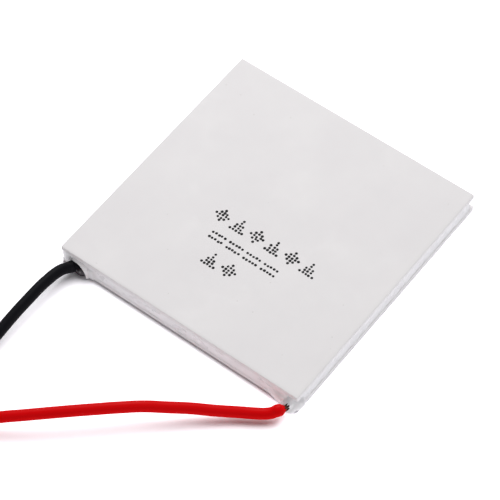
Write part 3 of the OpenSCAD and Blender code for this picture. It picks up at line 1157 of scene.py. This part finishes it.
def sheath(colour):
    made, tree, inputs = material(f"{colour}_sheath", Specular_IOR_Level=0.03)
    grain = group(tree, GRAIN, Grain_Size=0.12, Mottle_Size=4)
    smudge = group(tree, SMUDGES, Size=3, Cover=0.4)["Smudge"]
    speck = group(tree, SPECKS, Size=0.8, Share=0.1)["Speck"]
    dust = math_node("MAXIMUM", ramp(smudge, 0, 1, 0, 0.35), ramp(speck, 0, 1, 0, 0.8))
    roughness = ramp(grain["Mottle"], *CLOUD, 0.36, 0.52)
    surface(inputs, blend(dust, *SHEATHS[colour]), roughness, grain["Grain"], 0.006)
    return made


def patchy(name, colours, rough, sizes, cover, depth, **constants):
    """A surface worn in patches; the sizes are of its grain, mottling and patches."""
    made, tree, inputs = material(name, **constants)
    grain = group(tree, GRAIN, Grain_Size=sizes[0], Mottle_Size=sizes[1])
    patch = group(tree, SMUDGES, Size=sizes[2], Cover=cover)["Smudge"]
    roughness = ramp(grain["Mottle"], *CLOUD, *rough)
    surface(inputs, blend(patch, *colours), roughness, grain["Grain"], depth)
    return made


def printing_ink():
    made, tree, inputs = material("printing_ink", Specular_IOR_Level=0.1)
    grain = group(tree, GRAIN, Grain_Size=0.06, Mottle_Size=0.4)
    thin = ramp(grain["Mottle"], 0.45, 0.75)
    roughness = ramp(grain["Grain"], *CLOUD, 0.5, 0.7)
    surface(inputs, blend(thin, *INK_BLACK), roughness, grain["Grain"], 0.004)
    return made


for side, lead in LEADS.items():
    paint(sheath(lead["colour"]), leads[side], sheath_ends[side])
tie_plastic = patchy(
    "tie_plastic", TIE_WHITE, (0.38, 0.52), (0.1, 2, 1.5), cover=0.4, depth=0.008, Specular_IOR_Level=0.4
)
paint(tie_plastic, *ties.values())
paint(printing_ink(), ink)
print("plastics:", [piece.data.materials[0].name for piece in (*leads.values(), *ties.values(), ink)])

# %% [markdown]
# ## Metals and crystals
#
# Copper tarnishes in patches, tin dulls, solder cools with a frosty skin, and bismuth telluride breaks
# in bright flakes. Metals take their colour from what they reflect, so their tone is in the base
# colour and their age in the roughness.

# %% Metals and crystals
METALS = {  # bright and dull colour, roughness from and to, size of the patches, depth of the grain
    "copper": ((0.86, 0.53, 0.37, 1), (0.5, 0.27, 0.17, 1), (0.28, 0.45), 1.2, 0.006),
    "old_copper": ((0.045, 0.024, 0.017, 1), (0.012, 0.009, 0.008, 1), (0.22, 0.45), 0.5, 0.006),
    "tin": ((0.5, 0.49, 0.47, 1), (0.3, 0.3, 0.29, 1), (0.25, 0.42), 0.8, 0.01),
    "solder": ((0.74, 0.74, 0.72, 1), (0.5, 0.5, 0.5, 1), (0.28, 0.48), 0.6, 0.012),
}
GRAINS = 6  # across a patch
CRYSTALS = {  # bright and dull colour
    "n_telluride": ((0.42, 0.43, 0.45, 1), (0.27, 0.28, 0.3, 1)),
    "p_telluride": ((0.36, 0.36, 0.39, 1), (0.22, 0.22, 0.25, 1)),
}
FLAKE = 0.25


def metal(name):
    bright, dull, rough, size, depth = METALS[name]
    sizes = (size / GRAINS, size, size)
    return patchy(name, (bright, dull), rough, sizes, cover=0.6, depth=depth, Metallic=1)


def telluride(name):
    """Flakes: each cell of a Voronoi pattern has its own brightness and gloss."""
    made, tree, inputs = material(name, Metallic=0.9)
    cells = add(tree, "TexVoronoi", {"Vector": place_on(tree), "Scale": 1 / (FLAKE * MM)})
    flake = add(tree, "SeparateColor", {"Color": cells["Color"]})["Red"]
    line = group(tree, SAW_LINES, Size=0.06)["Line"]
    roughness = ramp(flake, 0, 1, 0.3, 0.5)
    surface(inputs, blend(flake, *CRYSTALS[name]), roughness, math_node("ADD", flake, line), 0.01)
    return made


copper_nodes = ("cold_bridges", "hot_bridges", "negative_terminal", "positive_terminal")
paint(metal("copper"), *(nodes[name] for name in copper_nodes))
paint(metal("old_copper"), *bare_cores)
paint(metal("tin"), *tips.values())
paint(metal("solder"), nodes["negative_solder"], nodes["positive_solder"])
paint(telluride("n_telluride"), nodes["n_legs"])
paint(telluride("p_telluride"), nodes["p_legs"])
print("metals:", list(METALS), "and crystals:", list(CRYSTALS))

# %% [markdown]
# ## Floor
#
# The module was photographed on white. The paper is brighter for the camera than for the light that
# bounces off it: it turns white where it is lit, and only the deep shadows stay. A glow would lift
# those shadows too.

# %% Floor
FLOOR_HALF = 1.5  # metres
FLOOR_DROP = 0.02  # millimetres
FLOOR_CORNERS = ((-1, -1), (1, -1), (1, 1), (-1, 1))
PAPER = (0.5, 0.5, 0.52, 1)
SEEN_PAPER = (1.16, 1.14, 1.19, 1)


def seen_rays(tree):
    """1 for rays from the camera and for those in reflections and glass."""
    rays = add(tree, "LightPath")
    mirrored = math_node("MAXIMUM", rays["Is Glossy Ray"], rays["Is Transmission Ray"])
    return math_node("MAXIMUM", rays["Is Camera Ray"], mirrored)


def white_paper():
    made = bpy.data.materials.new("white_paper")
    made.use_nodes = True
    tree = made.node_tree
    colour = blend(seen_rays(tree), PAPER, SEEN_PAPER)
    matt = add(tree, "BsdfDiffuse", {"Color": colour})
    tree.links.new(matt["BSDF"], tree.nodes["Material Output"].inputs["Surface"])
    return made


corners = [Vector((x * FLOOR_HALF, y * FLOOR_HALF, -FLOOR_DROP * MM)) for x, y in FLOOR_CORNERS]
floor_mesh = bpy.data.meshes.new("floor")
floor_mesh.from_pydata(corners, [], [(0, 1, 2, 3)])
floor = new_object("floor", floor_mesh)
paint(white_paper(), floor)
print("floor:", 2 * FLOOR_HALF, "m of", floor.data.materials[0].name)

# %% [markdown]
# ## Light
#
# The light is soft and comes from behind and from the module's right. A white dome gives the even
# light, and large lamps give the directions. In the photograph the leads shade the paper, and the
# module leaves no more than a thin dark line. Light linking does that: the paper has a lamp of its own,
# which only the leads, their bead and the lower plate block. It is so large that a lead's shadow is
# dark where the lead lies low, and fades where it rises. The lamp at the front passes through the red
# lead, which would put the module's side in shade.

# %% Light
DOME_LIGHT = 0.15
LAMPS = {  # place in metres, watts, size
    "back_softbox": ((-0.34, 0.41, 0.56), 5.3, 0.35),
    "side_softbox": ((0.7, 0.0, 0.13), 1.8, 0.2),
    "front_softbox": ((-0.1, -0.7, 0.19), 1.45, 0.1),
    "paper_softbox": ((-0.04, 0.54, 0.6), 18, 0.95),
}

world = bpy.data.worlds.new("studio")
bpy.context.scene.world = world
world.use_nodes = True
dome = world.node_tree.nodes["Background"].inputs
dome["Color"].default_value = (1, 1, 1, 1)
level = ramp(seen_rays(world.node_tree), 0, 1, DOME_LIGHT, 1)
world.node_tree.links.new(level, dome["Strength"])


def light_set(name, *objects, state="INCLUDE"):
    """Objects that a lamp lights or that block it, or with EXCLUDE those that do not."""
    chosen = bpy.data.collections.new(name)
    for piece in objects:
        chosen.objects.link(piece)
    for entry in chosen.collection_objects:
        entry.light_linking.link_state = state
    return chosen


all_but_paper = light_set("all_but_paper", floor, state="EXCLUDE")
lead_pieces = [piece for kind in (leads, sheath_ends, tips, ties) for piece in kind.values()] + bare_cores
lit = {"paper_softbox": light_set("paper_alone", floor)}
blockers = {
    "paper_softbox": light_set("paper_shades", *lead_pieces, plates[0], bead),
    "front_softbox": light_set("front_passes", leads["positive"], sheath_ends["positive"], state="EXCLUDE"),
}
for name, (place, watts, size) in LAMPS.items():
    lamp = new_object(name, bpy.data.lights.new(name, "AREA"))
    lamp.light_linking.receiver_collection = lit.get(name, all_but_paper)
    lamp.light_linking.blocker_collection = blockers.get(name)
    lamp.data.size = size
    lamp.data.energy = watts
    lamp.visible_camera = False
    aim = Vector(place).to_track_quat("Z", "Y").to_matrix().to_4x4()
    lamp.matrix_world = Matrix.Translation(place) @ aim
bpy.context.scene.view_settings.view_transform = "Standard"
print("light: a dome of", DOME_LIGHT, "and", len(LAMPS), "lamps")
